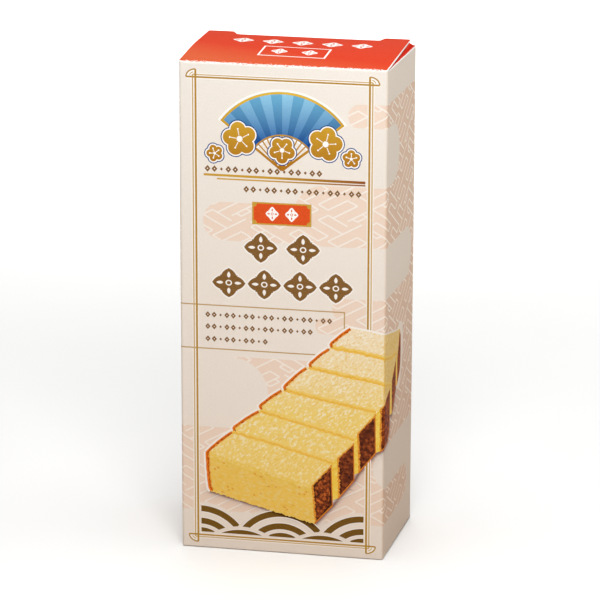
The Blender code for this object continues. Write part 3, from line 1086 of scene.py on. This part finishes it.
class Nodes:
    """Short forms for building one material."""

    def __init__(self, name):
        self.material = bpy.data.materials.new(name)
        self.material.use_nodes = True
        self.tree = self.material.node_tree
        self.shader = self.tree.nodes["Principled BSDF"]
        self.coords = self.add("TexCoord").outputs["Object"]

    def put(self, node, **inputs):
        """Sets or links inputs, named with an underscore for each space."""
        for name, value in inputs.items():
            socket = node.inputs[name.replace("_", " ")]
            if isinstance(value, bpy.types.NodeSocket):
                self.tree.links.new(value, socket)
            else:
                socket.default_value = value

    def add(self, kind, **inputs):
        node = self.tree.nodes.new("ShaderNode" + kind)
        self.put(node, **inputs)
        return node

    def noise(self, scale, detail=2.0, rough=0.5, stretch=None, turn=0.0):
        source = self.coords
        if stretch:
            mapping = self.add("Mapping", Vector=source, Scale=(1.0, 1.0, stretch), Rotation=(0.0, turn, 0.0))
            mapping.vector_type = "TEXTURE"
            source = mapping.outputs["Vector"]
        return self.add("TexNoise", Vector=source, Scale=scale, Detail=detail, Roughness=rough).outputs["Fac"]

    def ramp(self, source, stops):
        node = self.add("ValToRGB", Fac=source)
        points = node.color_ramp.elements
        while len(points) < len(stops):
            points.new(0.5)
        for point, (at, colour) in zip(points, stops):
            point.position = at
            point.color = linear(colour)
        return node.outputs["Color"]

    def mix(self, share, one, two, blend="MIX"):
        node = self.add("Mix")
        node.data_type = "RGBA"
        node.blend_type = blend
        node.clamp_result = True
        for k, value in ((0, share), (6, one), (7, two)):
            if isinstance(value, tuple):
                node.inputs[k].default_value = value
            else:
                self.tree.links.new(value, node.inputs[k])
        return node.outputs[2]

    def range(self, source, low, high, to_low=0.0, to_high=1.0):
        return self.add("MapRange", Value=source, From_Min=low, From_Max=high, To_Min=to_low,
                        To_Max=to_high).outputs["Result"]

    def place(self, along=(0.0, 0.0, 1.0)):
        """Distance along a direction of the carton."""
        node = self.add("VectorMath", Vector=self.coords)
        node.operation = "DOT_PRODUCT"
        node.inputs[1].default_value = along
        return node.outputs["Value"]

    def attribute(self, name):
        node = self.add("Attribute")
        node.attribute_name = name
        return node.outputs["Fac"]

    def finish(self, colour, rough_low, rough_high, grain=900.0, bump=0.00002, gloss=0.16):
        """Sets the colour, a roughness that varies with the board's grain, and a fine bump."""
        fibres = self.noise(grain, 3.0, 0.6)
        relief = self.add("Bump", Strength=0.35, Distance=bump, Height=fibres).outputs["Normal"]
        roughness = self.range(fibres, 0.3, 0.7, rough_low, rough_high)
        self.put(self.shader, Base_Color=colour, Roughness=roughness, Specular_IOR_Level=gloss, Normal=relief)
        return self.material


SHADOW = (146, 118, 122)
# Painted shade: LOW_PAINTED_SHADE darkens the ground towards the foot
LOW_PAINTED_SHADE = (243, 234, 227)
# Painted shade: the narrow sides' ground and pattern are painted warmer and darker
NARROW_PAINTED_SHADE = (255, 248, 239)
NARROW_PATTERN_PAINTED_SHADE = (249, 232, 215)
# Painted shade: the narrow sides' ground is painted darker still towards their foot
FOOT_PAINTED_SHADE = (233, 227, 222)
FRET_LIGHT = (255, 250, 243)

# Inks as (middle colour, how much the print's mottle lightens and darkens it, low and high roughness)
INKS = {
    "board": ((236, 227, 217), 3, 0.42, 0.52),
    "pattern": ((236, 214, 196), 4, 0.42, 0.52),
    "keyline": ((246, 240, 233), 3, 0.42, 0.52),
    "fret_line": ((243, 234, 225), 3, 0.42, 0.52),
    "gold": ((176, 134, 52), 10, 0.36, 0.48),
    "gold_pale": ((196, 160, 98), 6, 0.4, 0.5),
    "gold_fine": ((186, 152, 100), 8, 0.4, 0.5),
    "plaque_gold": ((196, 152, 62), 12, 0.36, 0.46),
    "plaque_red": ((218, 80, 34), 6, 0.38, 0.48),
    # Painted shade: deeper red for the dust flaps under the lid
    "flap_red": ((212, 38, 10), 6, 0.5, 0.6),
    "lid_pink": ((238, 150, 124), 8, 0.5, 0.6),
    "white": ((248, 244, 238), 2, 0.42, 0.52),
    "title": ((128, 90, 47), 10, 0.4, 0.5),
    "wave": ((112, 78, 26), 8, 0.4, 0.5),
    "navy": ((30, 66, 128), 6, 0.38, 0.48),
    # White for the scuffed creases, which are wear, and for the painted highlight along the lid's right edge
    "scuff": ((252, 246, 240), 4, 0.7, 0.85),
    "inside": ((206, 200, 190), 8, 0.75, 0.9),
    "cut_edge": ((252, 250, 246), 3, 0.7, 0.9),
}
# Inks that run from one colour to another, as (first, last, start and end in millimetres, direction)
GRADED = {
    # Painted sheen: the lid's red is paler towards its front crease and its left
    "lid_red": ((219, 94, 50), (220, 58, 16), -30, -9, (0.25, 1.0, 0.0)),
    "rule": ((200, 154, 56), (142, 80, 40), -10, 32, (1.0, 0.0, 0.0)),
    "gold_rich": ((172, 112, 30), (226, 182, 60), 160, 190),
    "fan_light": ((36, 92, 160), (150, 206, 232), 170, 190),
    "fan_deep": ((26, 72, 138), (112, 178, 212), 170, 190),
}
# Crumb as (colours from low to high, pale streaks from low to high, warm streaks, scale, turn of the streaks)
SPONGES = {
    "sponge_top": (((231, 194, 104), (233, 199, 108), (235, 214, 180)), ((234, 212, 156), (239, 228, 208)),
                   (227, 178, 64), 1300.0),
    # Painted shade: the sponge top's copy for the narrow sides, painted darker and deeper yellow
    "sponge_side": (((218, 166, 42), (230, 192, 114)), ((230, 202, 142), (238, 210, 150)),
                    (214, 152, 44), 900.0),
    "sponge_face": (((228, 183, 82), (230, 188, 100)), ((225, 193, 116), (233, 201, 124)),
                    (222, 170, 56), 1000.0, 1.9),
    "sponge_brow": (((226, 184, 82), (228, 184, 92)), ((228, 192, 104), (236, 200, 112)),
                    (216, 162, 54), 900.0, 1.9),
    "sponge_edge": (((229, 190, 88), (228, 184, 92)), ((232, 202, 128), (240, 210, 136)),
                    (220, 168, 62), 1200.0),
    "sponge_sliver": (((232, 190, 72), (232, 194, 86)), ((232, 200, 96), (240, 208, 104)),
                      (222, 168, 50), 900.0),
}
# Mottled inks as (stops, scale, gloss)
CRUSTS = {
    "cut_line": (((0.3, (230, 188, 88)), (0.7, (238, 202, 114))),),
    "cut_deep": (((0.3, (226, 170, 58)), (0.7, (233, 186, 84))),),
    "speck": (((0.3, (214, 142, 50)), (0.7, (224, 162, 64))),),
    "crust_heart": (((0.34, (38, 16, 8)), (0.45, (92, 40, 19)), (0.54, (144, 66, 28)),
                     (0.64, (204, 106, 42))), 620.0),
    "crust_dark": (((0.34, (52, 22, 12)), (0.45, (88, 38, 20)), (0.54, (122, 56, 27)),
                    (0.66, (164, 80, 36))), 620.0),
    # Painted light: the dark crust's copy for the narrow sides, painted brighter and redder
    "crust_side": (((0.34, (62, 18, 2)), (0.45, (108, 40, 6)), (0.54, (148, 62, 12)),
                    (0.66, (200, 98, 22))), 620.0, 0.03),
    "crust_char": (((0.35, (46, 22, 12)), (0.55, (84, 40, 18)), (0.72, (150, 84, 34))), 700.0),
    "crust_rim": (((0.3, (178, 84, 26)), (0.7, (216, 122, 44))),),
    "crust_amber": (((0.3, (204, 118, 34)), (0.7, (232, 160, 58))),),
    "crust_brown": (((0.3, (170, 60, 12)), (0.7, (208, 90, 20))),),
    "crust_left": (((0.3, (208, 98, 18)), (0.5, (220, 112, 26)), (0.7, (232, 138, 42))),),
}


def shifted(colour, by):
    return tuple(min(255, max(0, c + by)) for c in colour)


def flat_ink(name, colour, mottle, low, high):
    nodes = Nodes(name)
    stops = ((0.3, shifted(colour, -mottle)), (0.7, shifted(colour, mottle)))
    tone = nodes.ramp(nodes.noise(1400.0, 4.0, 0.7), stops)
    grounds = ("board", "pattern", "keyline", "fret_line")
    # On the narrow sides the fret lines are first lifted to FRET_LIGHT, so that the painted shade leaves them
    # pale
    if name == "fret_line":
        tone = nodes.mix(nodes.attribute("narrow"), tone, linear(FRET_LIGHT))
    if name in grounds:
        narrow = NARROW_PATTERN_PAINTED_SHADE if name == "pattern" else NARROW_PAINTED_SHADE
        # Painted shade: the grounds darken towards the foot, turn warmer and darker on the narrow sides, and
        # darken most at the sides' foot
        for attribute, shade in (("low", LOW_PAINTED_SHADE), ("narrow", narrow), ("foot", FOOT_PAINTED_SHADE)):
            tone = nodes.mix(nodes.attribute(attribute), tone, linear(shade), "MULTIPLY")
    if name in ("board", "pattern", "fret_line", "wave"):
        tone = nodes.mix(nodes.attribute("shade"), tone, linear(SHADOW), "MULTIPLY")
    if name in ("cut_edge", "inside"):
        return nodes.finish(tone, low, high, 1800.0, 0.00006)
    return nodes.finish(tone, low, high, gloss=0.16 if name in grounds else 0.04)


def graded_ink(name, foot, top, start, end, along=(0.0, 0.0, 1.0)):
    """Ink that runs from one colour to another up the panel, or back along the lid, where the run is a
    painted sheen.
    """
    nodes = Nodes(name)
    tone = nodes.ramp(nodes.range(nodes.place(along), start * MM, end * MM), ((0.0, foot), (1.0, top)))
    speck = nodes.range(nodes.noise(1600.0, 3.0, 0.6), 0.35, 0.65, 0.0, 0.06)
    return nodes.finish(nodes.mix(speck, tone, (0.0, 0.0, 0.0, 1.0)), 0.5, 0.6, gloss=0.03)


def sponge(name, tones, lights, deep, scale, turn=0.8):
    """Crumb of the pictured sponge: short slanting streaks, some paler and some warmer."""
    nodes = Nodes(name)
    share = nodes.range(nodes.place(), 0.03, 0.095)
    tones = zip((0.0, 1.0) if len(tones) == 2 else (0.0, 0.45, 1.0), tones)
    crumbs = nodes.range(nodes.noise(scale, 3.0, 0.6, 2.0, turn), 0.5, 0.64)
    tone = nodes.mix(crumbs, nodes.ramp(share, list(tones)), nodes.ramp(share, list(enumerate(lights))))
    pores = nodes.range(nodes.noise(scale * 1.2, 3.0, 0.6, 2.0, turn), 0.54, 0.68, 0.0, 0.65)
    return nodes.finish(nodes.mix(pores, tone, linear(deep)), 0.5, 0.6, gloss=0.05)


def crust(name, stops, scale=900.0, gloss=0.05):
    nodes = Nodes(name)
    tone = nodes.ramp(nodes.noise(scale, 5.0, 0.7), stops)
    return nodes.finish(tone, 0.5, 0.6, gloss=gloss)


def ink(name):
    for table, make in ((INKS, flat_ink), (GRADED, graded_ink), (SPONGES, sponge), (CRUSTS, crust)):
        if name in table:
            return make(name, *table[name])
    raise KeyError(name)


# Camera, from the fit of the photographed carton's corners

FOCAL_PIXELS = 3056.3
PHOTO_PIXELS = 600
SENSOR_MM = 36.0
CAMERA_TURN = radians(11.54)
CAMERA_RISE = radians(15.44)
CAMERA_ROLL = radians(0.15)
CAMERA_DISTANCE = 1.2356
CAMERA_SHIFT = (0.00172, -0.00098)

# Light, in watts, with each soft box as (name, place, aim, size, power), in metres
SOFT_BOXES = (
    ("key", (0.09, -0.38, 0.46), (0, 0, 0.17), 0.22, 1.54),
    ("side", (0.34, 0.05, 0.42), (0.04, 0, 0.17), 0.2, 0.16),
    ("backdrop", (-0.25, 1.35, 0.7), (-0.25, 1.45, 0), 1.2, 12.5),
)
WORLD_LIGHT = 0.14
SUN_LIGHT = 1.7
FLOOR_REACH = 6.0


def add_object(name, data):
    thing = bpy.data.objects.new(name, data)
    bpy.context.scene.collection.objects.link(thing)
    return thing


def add_camera():
    data = bpy.data.cameras.new("camera")
    camera = add_object("camera", data)
    level = cos(CAMERA_RISE)
    back = Vector((sin(CAMERA_TURN) * level, -cos(CAMERA_TURN) * level, sin(CAMERA_RISE)))
    right = (-back).cross(Vector((0, 0, 1))).normalized()
    up = right.cross(-back)
    c, s = cos(CAMERA_ROLL), sin(CAMERA_ROLL)
    right, up = right * c + up * s, up * c - right * s
    aim = Vector(((side_x(-1, FRONT_Y) + WIDTH / 2) * MM, 0.0, HEIGHT / 2 * MM))
    place = aim + back * CAMERA_DISTANCE + right * CAMERA_SHIFT[0] + up * CAMERA_SHIFT[1]
    camera.matrix_world = Matrix([*zip(right, up, back, place), (0.0, 0.0, 0.0, 1.0)])
    data.sensor_width = SENSOR_MM
    data.lens = FOCAL_PIXELS * SENSOR_MM / PHOTO_PIXELS
    data.clip_end = 20.0
    bpy.context.scene.camera = camera


def add_light(name, place, aim, size, power):
    data = bpy.data.lights.new(name, "AREA")
    data.size = size
    data.energy = power
    lamp = add_object(name, data)
    lamp.location = place
    lamp.rotation_euler = (Vector(aim) - Vector(place)).to_track_quat("-Z", "Y").to_euler()


def add_studio():
    """Pale floor, white surroundings, soft boxes in front, at the side and behind, and a light overhead."""
    mesh = bpy.data.meshes.new("floor")
    corners = [(x, y, 0) for x, y in box(-FLOOR_REACH, -FLOOR_REACH, FLOOR_REACH, FLOOR_REACH)]
    mesh.from_pydata(corners, [], [(0, 1, 2, 3)])
    nodes = Nodes("floor_paper")
    tone = nodes.ramp(nodes.noise(6.0, 3.0), ((0.2, (244, 244, 243)), (0.8, (248, 248, 247))))
    mesh.materials.append(nodes.finish(tone, 0.7, 0.85, 300.0))
    add_object("floor", mesh)
    world = bpy.data.worlds.new("studio")
    world.use_nodes = True
    background = world.node_tree.nodes["Background"]
    background.inputs["Color"].default_value = (1.0, 1.0, 1.0, 1.0)
    background.inputs["Strength"].default_value = WORLD_LIGHT
    bpy.context.scene.world = world
    for light in SOFT_BOXES:
        add_light(*light)
    sun = bpy.data.lights.new("overhead", "SUN")
    sun.energy = SUN_LIGHT
    sun.angle = radians(50)
    add_object("overhead", sun).rotation_euler = (radians(4), 0.0, 0.0)
    bpy.context.scene.view_settings.view_transform = "Standard"


def add_board():
    paint_all()
    board = add_object("carton_board", board_mesh())
    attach(board, "root")
    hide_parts("carton")


add_board()
add_studio()
add_camera()
